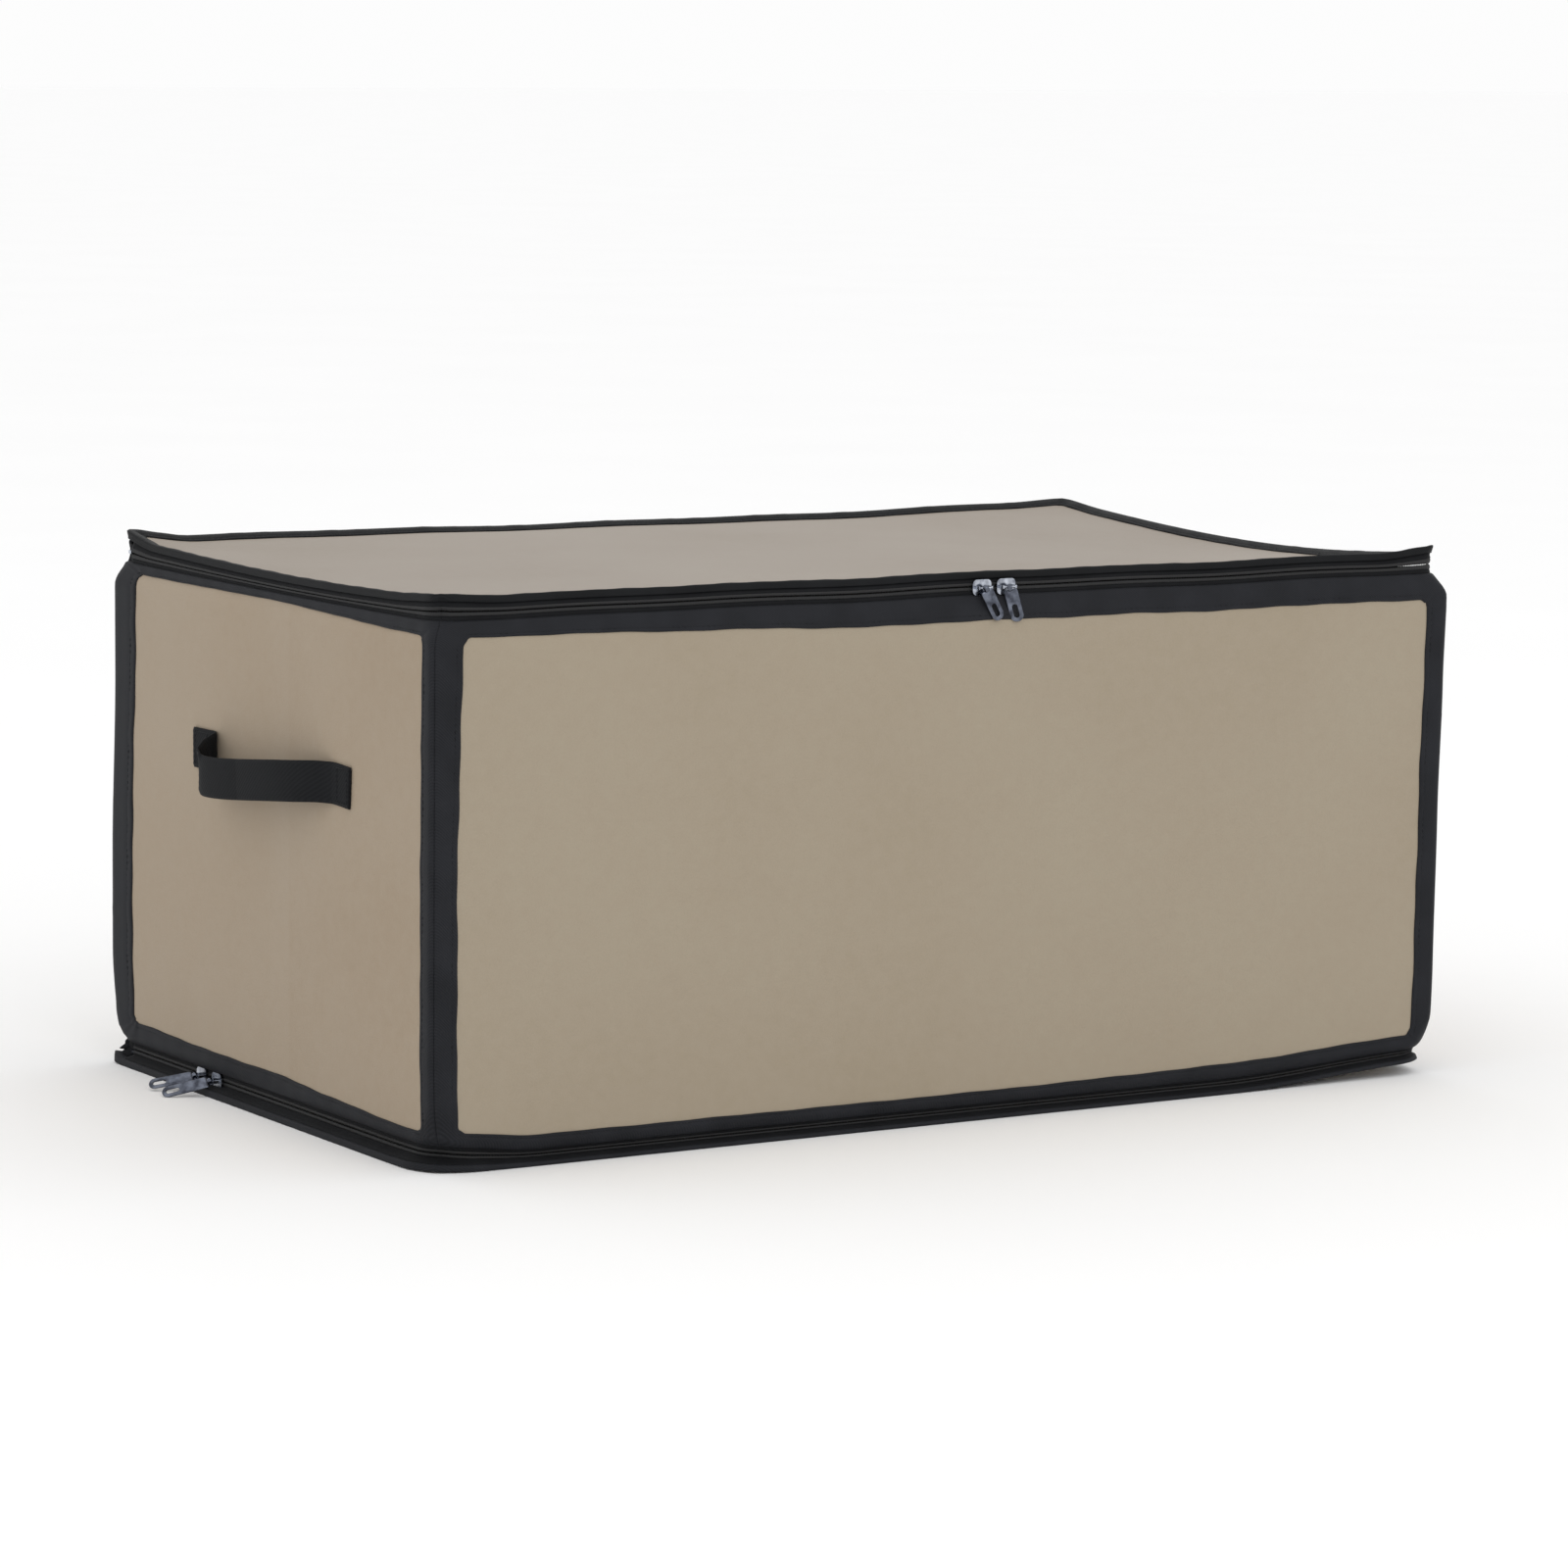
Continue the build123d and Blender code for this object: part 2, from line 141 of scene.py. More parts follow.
def warp(x0, y0, z0):
    """Where a point of the flat layout lies on the real, slightly slack box."""
    side_x, side_y = smooth((abs(x0) - 270 * MM) / (30 * MM)), smooth((abs(y0) - 150 * MM) / (30 * MM))
    right_share = smooth((x0 - 40 * MM) / (260 * MM))
    left_share = smooth((-x0 - 60 * MM) / (240 * MM))
    x, y = round_corner(x0, y0, z0)
    z = z0

    # the walls and the base's lip stand a little proud of the zippers, less towards the creases
    wall = smooth((z0 - 11 * MM) / (3 * MM)) * smooth((274 * MM - z0) / (3 * MM))
    fold = 1 - wall * (1 - min(abs(y0) / (62 * MM), 1))
    proud = rises(z0, *PROUD)
    if x0 < 0:
        x -= side_x * (proud * fold + rises(z0, *LEFT_LIP))
    else:
        x += side_x * fold * rises(z0, *RIGHT_LEAN)
    if y0 < 0:
        y -= side_y * (proud + rises(z0, *LID_FRONT_INSET))
    else:
        y -= side_y * rises(z0, *LID_BACK_INSET)
        y += near_corner(x0, y0, 60 * MM) * rises(z0, *BACK_CORNER_FULL)

    # the panels are a little slack between their stiff edges
    tall = math.sin(math.pi * min(max(z0 / HEIGHT, 0), 1))
    slack = tall * smooth((HALF_L - abs(x0)) / (50 * MM))
    y += math.copysign(side_y * slack * 0.5 * MM, y) * (
        math.sin(9.1 * x0 + 14 * z0 + 0.6) + 0.6 * math.sin(23 * x0 - 17 * z0 + 2.1)
    )
    slack = tall * smooth((HALF_D - abs(y0)) / (50 * MM)) * min(abs(y0) / (40 * MM), 1)
    x += math.copysign(side_x * slack * 0.4 * MM, x) * (
        math.sin(16 * y0 + 13 * z0 + 1.7) + 0.6 * math.sin(29 * y0 - 19 * z0)
    )

    # the lid and the tops of the sides sag between the back and the front corners
    high = smooth((z0 - 120 * MM) / (145 * MM))
    over_zip = smooth((z0 - 266 * MM) / (11 * MM))
    along_y = min(max((y0 + HALF_D) / (2 * HALF_D), 0), 1)
    bow = math.sin(math.pi * along_y ** 0.85)
    z -= bow * right_share * (7.4 * high + 1.8 * over_zip) * MM
    z -= bow * left_share * (0.8 * high + 2.9 * over_zip) * MM
    along_x = min(max((x0 + HALF_L) / (2 * HALF_L), 0), 1)
    if y0 > 0:
        z -= over_zip * math.sin(math.pi * along_x ** 1.3) * 2.0 * side_y * MM
    else:
        z -= smooth((z0 - 272 * MM) / (6 * MM)) * side_y * 0.8 * MM
    ripple = math.sin(31 * x0 + 0.5) + math.sin(57 * x0 + 2.0)
    z += high * side_y * smooth((HALF_L - abs(x0)) / (60 * MM)) * 0.25 * MM * ripple

    # the lid's panel is dished inside its raised edge
    edge = min(HALF_L - abs(x0), HALF_D - abs(y0))
    swell = math.sin(13 * x0 + 4 * y0) + 0.7 * math.sin(21 * x0 - 15 * y0 + 1.3)
    z -= over_zip * smooth((edge - 1.5 * MM) / (9 * MM)) * (2.5 + 0.3 * swell) * MM

    # the lid's corners stand up as small ears, and the zipper below them is pinched in
    ear = near_corner(x0, y0, 42 * MM) * (1.0 if x0 * y0 < 0 else 0.35)
    z += smooth((z0 - 268 * MM) / (10 * MM)) * ear * (4.2 if x0 < 0 else 3.0) * MM
    pinch = bump(z0 - 271.5 * MM, 6.0 * MM) * 2.6 * near_corner(x0, y0, 15 * MM) * MM
    x -= math.copysign(pinch * side_x, x)
    y -= math.copysign(pinch * side_y, y)

    # at the front and the right the walls sit down on the bottom zipper
    settle = smooth((0.3 * HALF_D - y0) / (0.9 * HALF_D)) * smooth((x0 + HALF_L) / (60 * MM))
    if x0 > 0:
        to_back = smooth((HALF_D - 20 * MM - y0) / (60 * MM))
        settle = max(settle, smooth((x0 - 200 * MM) / (80 * MM)) * to_back)
    if z0 < WALL_LOW:
        z -= 0.36 * settle * z0
    else:
        z -= 0.36 * settle * WALL_LOW * (1 - smooth((z0 - WALL_LOW) / (70 * MM)))

    # the base's corners curl up off the floor, most of all at the front right
    curl = near_corner(x0, y0, (140 if x0 > 0 else 50) * MM) * smooth((60 * MM - z0) / (60 * MM))
    if y0 < 0:
        z += curl * (7.0 if x0 > 0 else 0.8) * MM
    elif x0 < 0:
        z += near_corner(x0, y0, 15 * MM) * bump(z0 - 5 * MM, 5 * MM) * 3 * MM
    return Vector((x, y, z))


# Each face lays a piece out by p across, q up and w out of the face. On the lid and base, q runs to the back.
def front(p, q, w):
    return warp(p, -(HALF_D + w), q)


def back(p, q, w):
    return warp(-p, HALF_D + w, q)


def left(p, q, w):
    return warp(-(HALF_L + w), -p, q)


def right(p, q, w):
    return warp(HALF_L + w, p, q)


def lid(p, q, w):
    return warp(p, q, HEIGHT + w)


def base(p, q, w):
    point = warp(p, q, max(-w, 0.0))
    point.z = max(point.z, 0.1 * MM)
    return point


# ---------------------------------------------------------------------------------------------------
# mesh making
# ---------------------------------------------------------------------------------------------------

class Mesh:
    """Points and faces gathered for one object."""

    def __init__(self):
        self.points, self.faces = [], []

    def add(self, points, faces):
        first = len(self.points)
        self.points += points
        self.faces += [[first + n for n in face] for face in faces]

    def piece(self, name, material, flat=False):
        data = bpy.data.meshes.new(name)
        data.from_pydata([tuple(p) for p in self.points], [], self.faces)
        work = bmesh.new()
        work.from_mesh(data)
        bmesh.ops.remove_doubles(work, verts=work.verts, dist=1e-6)
        bmesh.ops.recalc_face_normals(work, faces=work.faces)
        for face in work.faces:
            face.smooth = not flat
        work.to_mesh(data)
        work.free()
        data.materials.append(material)
        made = bpy.data.objects.new(name, data)
        bpy.context.collection.objects.link(made)
        return made


def steps(low, high, size):
    count = max(1, round(abs(high - low) / size))
    return [low + (high - low) * n / count for n in range(count + 1)]


def steps_to_corners(low, high, size, reach=30 * MM, fine=2.2 * MM):
    """Steps that are close together near both ends, where a run turns a corner."""
    if high - low < 3 * reach:
        return steps(low, high, min(size, 3 * MM))
    start, finish = steps(low, low + reach, fine), steps(high - reach, high, fine)
    return start[:-1] + steps(low + reach, high - reach, size) + finish[1:]


def tube(mesh, rings, closed=False):
    """Skins rings of equal length, and caps the ends unless the rings close on themselves."""
    wide = len(rings[0])
    points = [p for ring in rings for p in ring]
    faces = []
    for n in range(len(rings) if closed else len(rings) - 1):
        a, b = n * wide, (n + 1) % len(rings) * wide
        faces += [[a + k, a + (k + 1) % wide, b + (k + 1) % wide, b + k] for k in range(wide)]
    if not closed:
        faces += [list(range(wide)), list(range((len(rings) - 1) * wide, len(rings) * wide))]
    mesh.add(points, faces)


def slab(mesh, face, across, up, deep, size=6 * MM):
    """A flat sheet between two depths, as two grids joined round their edges."""
    ps, qs = steps_to_corners(*across, size), steps_to_corners(*up, size)
    columns, rows = len(ps), len(qs)
    points = [face(p, q, w) for w in deep for q in qs for p in ps]
    layer = columns * rows

    def at(level, row, column):
        return level * layer + row * columns + column

    faces = []
    for level in (0, 1):
        faces += [
            [at(level, r, c), at(level, r, c + 1), at(level, r + 1, c + 1), at(level, r + 1, c)]
            for r in range(rows - 1) for c in range(columns - 1)
        ]
    for r in (0, rows - 1):
        faces += [[at(0, r, c), at(0, r, c + 1), at(1, r, c + 1), at(1, r, c)] for c in range(columns - 1)]
    for c in (0, columns - 1):
        faces += [[at(0, r, c), at(0, r + 1, c), at(1, r + 1, c), at(1, r, c)] for r in range(rows - 1)]
    mesh.add(points, faces)


def run_along(mesh, face, across, section, mitre=(), size=4 * MM):
    """Sweeps a closed section of (q, w) points across a face. Mitred ends step in as they go deeper."""
    rings = []
    for p in steps_to_corners(*across, size):
        rings.append([face(mitred(p, w, across, mitre), q, w) for q, w in section])
    tube(mesh, rings)


def mitred(p, w, across, mitre):
    deep = max(-w, 0)
    low = across[0] + (deep if "low" in mitre else 0)
    high = across[1] - (deep if "high" in mitre else 0)
    return min(max(p, low), high)


# The binding folds over a panel's edge: (share of the flap's width, depth), outside flap first. Shares
# below zero stand off the edge, and "in" shares are of the inside flap.
FLAP_OUT = [
    (1.0, -0.55), (1.0, -0.1), (0.95, 0.18), (0.84, 0.2), (0.8, 0.04), (0.76, 0.2), (0.62, 0.24), (0.5, 0.26),
    (0.38, 0.28), (0.27, 0.3), (0.16, 0.3), (0.07, 0.25),
]
FLAP_EDGE = [(0.0, -0.15), (-0.25, -0.9), (-0.3, -1.8), (-0.2, -2.7), (0.1, -3.4)]
FLAP_IN = [(0.16, -3.45), (0.6, -3.45), (0.95, -3.42), (1.0, -3.3), (0.95, -3.1)]
FLAP_CORE = [(0.3, -3.1), (0.35, -1.9), (0.3, -0.6)]
INSIDE_FLAP = 8 * MM
ROUND_IN = 4.5 * MM  # the inner corners of a binding


def frame_point(rect, side, t, share, flaps, rounding):
    """A point of a binding's flap: t along one side of the rectangle, share across the flap."""
    low_p, high_p, low_q, high_q = rect
    wide, tall = high_p - low_p, high_q - low_q
    bottom, right_flap, top, left_flap = flaps
    order = {  # before, own and after flap of each side, going round
        "bottom": (left_flap, bottom, right_flap), "right": (bottom, right_flap, top),
        "top": (right_flap, top, left_flap), "left": (top, left_flap, bottom),
    }
    before, own, after = order[side]
    length = wide if side in ("bottom", "top") else tall
    d = t * length
    own_wide = own(t) if callable(own) else own
    before = before(1.0) if callable(before) else before
    after = after(0.0) if callable(after) else after
    if d < before + rounding:
        angle = math.radians(45) * (1 - d / (before + rounding))
        inner = (
            before + rounding - rounding * math.sin(angle),
            own_wide + rounding * (1 - math.cos(angle)),
        )
    elif d > length - after - rounding:
        angle = math.radians(45) * (1 - (length - d) / (after + rounding))
        inner = (
            length - after - rounding + rounding * math.sin(angle),
            own_wide + rounding * (1 - math.cos(angle)),
        )
    else:
        inner = (d, own_wide)
    u, v = d + (inner[0] - d) * share, inner[1] * share
    if side == "bottom":
        return low_p + u, low_q + v
    if side == "right":
        return high_p - v, low_q + u
    if side == "top":
        return high_p - u, high_q - v
    return low_p + v, high_q - u


def binding(mesh, face, rect, flaps, mitre=(), size=5 * MM, seed=0.0):
    """A tape folded over all four edges of a panel, with soft inner corners and slightly uneven edges."""
    low_p, high_p, low_q, high_q = rect
    inside = [INSIDE_FLAP] * 4
    rings = []
    for side in ("bottom", "right", "top", "left"):
        length = high_p - low_p if side in ("bottom", "top") else high_q - low_q
        for run in steps_to_corners(0, length, size)[:-1]:
            t = run / length
            ring = []
            run = run / MM + seed + 300 * ("bottom", "right", "top", "left").index(side)
            ripple = 1 + 0.014 * math.sin(run * 0.21) + 0.014 * math.sin(run * 0.083 + 1)
            lift = 0.12 * math.sin(run * 0.33 + seed) + 0.1 * math.sin(run * 0.117)
            for share, w in FLAP_OUT:
                p, q = frame_point(rect, side, t, share * (ripple if share > 0.7 else 1), flaps, ROUND_IN)
                ring.append((p, q, w + (lift if 0.1 < share < 0.97 else 0)))
            for off, w in FLAP_EDGE:
                p, q = frame_point(rect, side, t, off * MM / INSIDE_FLAP, inside, ROUND_IN)
                ring.append((p, q, w))
            for share, w in FLAP_IN:
                p, q = frame_point(rect, side, t, share, inside, ROUND_IN)
                ring.append((p, q, w))
            for off, w in FLAP_CORE:
                p, q = frame_point(rect, side, t, off * MM / INSIDE_FLAP, inside, ROUND_IN)
                ring.append((p, q, w))
            rings.append([
                face(mitred(p, w * MM, (low_p, high_p), mitre), q, w * MM) for p, q, w in ring
            ])
    tube(mesh, rings, closed=True)


def stitches(mesh, face, rect, flaps, pitch=3.3 * MM, inset=0.8):
    """One row of thread along a binding's flap, each stitch a small lozenge sunk at its ends."""
    low_p, high_p, low_q, high_q = rect
    for side in ("bottom", "right", "top", "left"):
        length = high_p - low_p if side in ("bottom", "top") else high_q - low_q
        ends = steps(0.02, 0.98, pitch / length)
        for a, b in zip(ends, ends[1:]):
            b = a + (b - a) * 0.72
            place = [frame_point(rect, side, t, inset, flaps, ROUND_IN) for t in (a, (a + b) / 2, b)]
            start, middle, end = (face(p, q, 0.05 * MM) for p, q in place)
            out = (face(place[1][0], place[1][1], 1.05 * MM) - middle).normalized()
            along = (end - start).normalized()
            across = out.cross(along) * 0.28 * MM
            lift = out * 0.3 * MM
            mesh.add(
                [
                    start - lift * 0.4, middle + across, middle + lift, middle - across, middle - lift,
                    end - lift * 0.4,
                ],
                [[0, 1, 2], [0, 2, 3], [0, 3, 4], [0, 4, 1], [5, 2, 1], [5, 3, 2], [5, 4, 3], [5, 1, 4]],
            )


def coil(mesh, face, across, height, toward, mitre=()):
    """A row of zipper coil: flat loops of filament side by side, their heads towards the other row."""
    pitch = 1.6 * MM
    rings = []
    for n, p in enumerate(steps(*across, pitch / 3)):
        swell = (1.0, 0.86, 0.5)[n % 3]
        ring = []
        for k in range(8):
            angle = math.tau * k / 8
            q = 0.85 * MM * math.cos(angle) * (1.0 if math.cos(angle) * toward < 0 else 1.05 + 0.45 * swell)
            w = 0.95 * MM * math.sin(angle) * (0.55 + 0.45 * swell) - ZIP_DEEP
            ring.append(face(mitred(p, w, across, mitre), height + q, w))
        rings.append(ring)
    tube(mesh, rings)


def tape_section(low, high, ribs=3, deep=ZIP_DEEP, thick=0.55 * MM):
    """The section of a knitted zipper tape, with ribs along it on both faces."""
    outer, inner = [], []
    count = 2 * ribs + 1
    for n in range(count):
        q = low + (high - low) * n / (count - 1)
        rise = (0.32 if n % 2 else 0.0) * MM
        outer.append((q, thick / 2 + rise - deep))
        inner.append((q, -thick / 2 - rise - deep))
    return outer + inner[::-1]


# ---------------------------------------------------------------------------------------------------
# materials
# ---------------------------------------------------------------------------------------------------

class Nodes:
    """Short names for building one material."""

    def __init__(self, name):
        self.material = bpy.data.materials.new(name)
        self.material.use_nodes = True
        self.tree = self.material.node_tree
        self.shader = self.tree.nodes["Principled BSDF"]
        self.place = self.add("ShaderNodeTexCoord").outputs["Object"]

    def add(self, kind, **settings):
        node = self.tree.nodes.new(kind)
        for key, value in settings.items():
            setattr(node, key, value)
        return node

    def link(self, a, b):
        self.tree.links.new(a, b)

    def stretched(self, scale):
        node = self.add("ShaderNodeMapping")
        node.inputs["Scale"].default_value = scale
        self.link(self.place, node.inputs["Vector"])
        return node.outputs["Vector"]

    def noise(self, scale, detail=2.0, vector=None, rough=0.5):
        node = self.add("ShaderNodeTexNoise")
        node.inputs["Scale"].default_value = scale
        node.inputs["Detail"].default_value = detail
        node.inputs["Roughness"].default_value = rough
        self.link(vector or self.place, node.inputs["Vector"])
        return node.outputs["Fac"]

    def wave(self, scale, direction, distortion=0.0, vector=None):
        node = self.add("ShaderNodeTexWave", bands_direction=direction)
        node.inputs["Scale"].default_value = scale
        node.inputs["Distortion"].default_value = distortion
        self.link(vector or self.place, node.inputs["Vector"])
        return node.outputs["Fac"]

    def voronoi(self, scale):
        node = self.add("ShaderNodeTexVoronoi")
        node.inputs["Scale"].default_value = scale
        self.link(self.place, node.inputs["Vector"])
        return node.outputs["Distance"]

    def math(self, operation, a, b):
        node = self.add("ShaderNodeMath", operation=operation)
        for socket, value in zip(node.inputs, (a, b)):
            if isinstance(value, (int, float)):
                socket.default_value = value
            else:
                self.link(value, socket)
        return node.outputs[0]

    def ramp(self, value, stops):
        node = self.add("ShaderNodeValToRGB")
        node.color_ramp.elements[0].position, node.color_ramp.elements[0].color = stops[0]
        node.color_ramp.elements[1].position, node.color_ramp.elements[1].color = stops[-1]
        for position, colour in stops[1:-1]:
            node.color_ramp.elements.new(position).color = colour
        self.link(value, node.inputs["Fac"])
        return node.outputs["Color"]

    def colour(self, output):
        self.link(output, self.shader.inputs["Base Color"])

    def bumps(self, *layers):
        """Stacks bump nodes, each (height, strength, depth in metres)."""
        normal = None
        for height, strength, depth in layers:
            node = self.add("ShaderNodeBump")
            node.inputs["Strength"].default_value = strength
            node.inputs["Distance"].default_value = depth
            self.link(height, node.inputs["Height"])
            if normal is not None:
                self.link(normal, node.inputs["Normal"])
            normal = node.outputs["Normal"]
        self.link(normal, self.shader.inputs["Normal"])

    def rough(self, value, low, high):
        node = self.add("ShaderNodeMapRange")
        node.inputs["To Min"].default_value = low
        node.inputs["To Max"].default_value = high
        self.link(value, node.inputs["Value"])
        self.link(node.outputs["Result"], self.shader.inputs["Roughness"])

    def set(self, **values):
        for key, value in values.items():
            self.shader.inputs[key.replace("_", " ")].default_value = value


def rgb(red, green, blue):
    """An 8-bit sRGB colour as the linear values that the shader takes."""
    def linear(c):
        c /= 255
        return c / 12.92 if c <= 0.04045 else ((c + 0.055) / 1.055) ** 2.4
    return (linear(red), linear(green), linear(blue), 1.0)


def nonwoven(name, pale, mid, dark, sheen, crease=None):
    """Spun-bonded cloth: matted fibres with a fine grid of heat-pressed dots. Given a crease, it paints
    shade: paler behind the crease, darker in front of it.
    """
    n = Nodes(name)
    patches = n.noise(7, 3)
    mottle = n.noise(160, 4)
    fibre = n.noise(2600, 3, rough=0.7)
    dots = n.voronoi(900)
    mix = n.math("ADD", n.math("MULTIPLY", patches, 0.6), n.math("MULTIPLY", mottle, 0.3))
    mix = n.math("ADD", mix, n.math("MULTIPLY", fibre, 0.12))
    if crease is not None:  # painted shade: the cloth behind the crease is painted a little paler and the cloth in front of it a little darker, for the light falling differently on the two halves
        across = n.add("ShaderNodeSeparateXYZ")
        n.link(n.place, across.inputs["Vector"])
        step = n.add("ShaderNodeMapRange")
        step.inputs["From Min"].default_value = crease - 0.002
        step.inputs["From Max"].default_value = crease + 0.002
        step.inputs["To Min"].default_value = -0.05
        step.inputs["To Max"].default_value = 0.05
        n.link(across.outputs["Y"], step.inputs["Value"])
        mix = n.math("ADD", mix, step.outputs["Result"])
    n.colour(n.ramp(mix, [(0.36, dark), (0.5, mid), (0.66, pale)]))
    n.bumps((patches, 0.12, 0.002), (mottle, 0.2, 0.0003), (dots, 0.35, 0.00015), (fibre, 0.4, 0.0001))
    n.rough(mottle, 0.78, 0.95)
    n.set(Sheen_Weight=sheen, Sheen_Roughness=0.4, Specular_IOR_Level=0.25)
    return n.material


def woven_tape(name, dark, pale, ribs, sheen, rough=(0.5, 0.7)):
    """Close-woven polyester tape with fine diagonal ribs and a soft sheen."""
    n = Nodes(name)
    patches = n.noise(45, 2)
    twill = n.wave(ribs, "DIAGONAL", 0.4)
    thread = n.noise(3000, 2)
    mix = n.math("ADD", n.math("MULTIPLY", patches, 0.55), n.math("MULTIPLY", twill, 0.25))
    mix = n.math("ADD", mix, n.math("MULTIPLY", thread, 0.2))
    n.colour(n.ramp(mix, [(0.3, dark), (0.72, pale)]))
    n.bumps((patches, 0.3, 0.0006), (twill, 0.45, 0.00012), (thread, 0.3, 0.00006))
    n.rough(patches, *rough)
    n.set(Sheen_Weight=sheen, Sheen_Roughness=0.35, Specular_IOR_Level=0.1)
    return n.material


def moulded(name, dark, pale, rough):
    n = Nodes(name)
    grain = n.noise(900, 2)
    n.colour(n.ramp(grain, [(0.3, dark), (0.7, pale)]))
    n.bumps((grain, 0.2, 0.00005))
    n.rough(grain, *rough)
    return n.material


def plated(name, dark, pale, rough):
    """Nickel plate with faint polishing marks and handling wear, its colour between a dark and a pale tone.
    """
    n = Nodes(name)
    marks = n.noise(1200, 2, vector=n.stretched((1, 1, 0.12)))
    wear = n.noise(260, 3)
    n.colour(n.ramp(wear, [(0.35, dark), (0.65, pale)]))
    n.bumps((marks, 0.12, 0.00004))
    n.rough(wear, *rough)
    n.set(Metallic=1.0)
    return n.material


def pasteboard(name):
    n = Nodes(name)
    pulp = n.noise(220, 4)
    n.colour(n.ramp(pulp, [(0.3, rgb(134, 120, 98)), (0.7, rgb(166, 151, 126))]))
    n.bumps((pulp, 0.3, 0.0002))
    n.set(Roughness=0.9)
    return n.material


def floor_paper():
    n = Nodes("floor_paper")
    grain = n.noise(3, 2)
    n.colour(n.ramp(grain, [(0.3, (0.985, 0.985, 0.985, 1)), (0.7, (0.995, 0.995, 0.995, 1))]))
    n.set(Roughness=0.95, Specular_IOR_Level=0.1)
    return n.material


COVER = nonwoven("cover_fabric", rgb(159, 148, 130), rgb(157, 145, 127), rgb(154, 142, 123), 0.12)
# side cloth: a slightly warmer tone of the cover cloth, with painted shade either side of the crease at y =
# -24 mm
SIDE_COVER_CREASE_SHADE = nonwoven(
    "side_cover_crease_shade", rgb(161, 147, 129), rgb(159, 144, 125), rgb(156, 140, 120), 0.12, crease=-0.024,
)
# painted sheen: a greyer copy of the cover cloth that stands in for the pale sheen the lid catches at a
# grazing angle
LID_COVER_PAINTED_SHEEN = nonwoven("lid_cover_painted_sheen", rgb(155, 146, 135), rgb(152, 142, 131), rgb(148, 138, 126), 0.12)
LINING = nonwoven("lining_fabric", rgb(176, 168, 154), rgb(168, 160, 146), rgb(158, 149, 134), 0.1)
TAPE = woven_tape("binding_tape", rgb(28, 29, 32), rgb(41, 42, 46), 420, 0.02)
# painted shade: a darker copy of the binding tape for the lid's edge, standing in for the shade on its rolled
# edge seen at a grazing angle
LID_TAPE_PAINTED_SHADE = woven_tape("edge_tape", rgb(17, 18, 19), rgb(29, 30, 32), 420, 0.03)
ZIP_TAPE = woven_tape("zip_tape", rgb(17, 17, 19), rgb(30, 31, 33), 520, 0.03, (0.7, 0.85))
WEBBING = woven_tape("webbing", rgb(21, 22, 24), rgb(31, 32, 34), 260, 0.03, (0.7, 0.85))
THREAD = woven_tape("thread", rgb(24, 25, 27), rgb(38, 39, 42), 900, 0.05)
COIL = moulded("zip_coil", rgb(10, 10, 11), rgb(20, 20, 22), (0.6, 0.75))
METAL = plated("slider_metal", rgb(120, 124, 134), rgb(196, 201, 211), (0.12, 0.26))
# painted reflection: a darker copy of the slider metal for the pulls, standing in for the dark surroundings
# they reflect
PULL_METAL_PAINTED_SHADE = plated("pull_metal_painted_shade", rgb(66, 69, 78), rgb(112, 117, 129), (0.16, 0.3))
BOARD = pasteboard("stiffener_board")


# ---------------------------------------------------------------------------------------------------
# camera, floor and lights
# ---------------------------------------------------------------------------------------------------

def studio():
    scene = bpy.context.scene
    scene.view_settings.view_transform = "Standard"
    azimuth, elevation, roll = math.radians(-31.21), math.radians(7.34), math.radians(0.565)
    level = Vector((math.sin(azimuth), -math.cos(azimuth), 0))
    away = level * math.cos(elevation) + Vector((0, 0, math.sin(elevation)))
    camera = bpy.data.objects.new("camera", bpy.data.cameras.new("camera"))
    bpy.context.collection.objects.link(camera)
    camera.location = (-1.608, -2.6598, 0.5524)
    camera.rotation_mode = "QUATERNION"
    camera.rotation_quaternion = Quaternion(away, roll) @ (-away).to_track_quat("-Z", "Y")
    camera.data.sensor_width = 36
    camera.data.lens = 135.57
    camera.data.clip_end = 200
    scene.camera = camera

    world = bpy.data.worlds.new("studio")
    world.use_nodes = True
    world.node_tree.nodes["Background"].inputs["Color"].default_value = (1, 1, 1, 1)
    world.node_tree.nodes["Background"].inputs["Strength"].default_value = 0.98
    scene.world = world

    floor = Mesh()
    floor.add([Vector(p) for p in ((-40, -40, 0), (40, -40, 0), (40, 40, 0), (-40, 40, 0))], [[0, 1, 2, 3]])
    floor.piece("floor", floor_paper())

    for name, place, size, power in (
        ("key", (-0.2, -3.4, 2.2), 2.4, 16), ("top", (0.3, 0.2, 3.2), 3.0, 3),
    ):
        lamp = bpy.data.lights.new(name, "AREA")
        lamp.size, lamp.energy = size, power
        stand = bpy.data.objects.new(name, lamp)
        stand.location = place
        stand.rotation_mode = "QUATERNION"
        stand.rotation_quaternion = (Vector((0, 0, 0.12)) - Vector(place)).to_track_quat("-Z", "Y")
        bpy.context.collection.objects.link(stand)


studio()

# ---------------------------------------------------------------------------------------------------
# panels: cover, board, lining and binding of every face
# ---------------------------------------------------------------------------------------------------

COVER_W = (-1.1 * MM, -0.55 * MM)
BOARD_W = (-2.85 * MM, -1.15 * MM)
LINING_W = (-3.25 * MM, -2.9 * MM)
EDGE = 2.0 * MM  # sheets stop this far inside their binding's edge


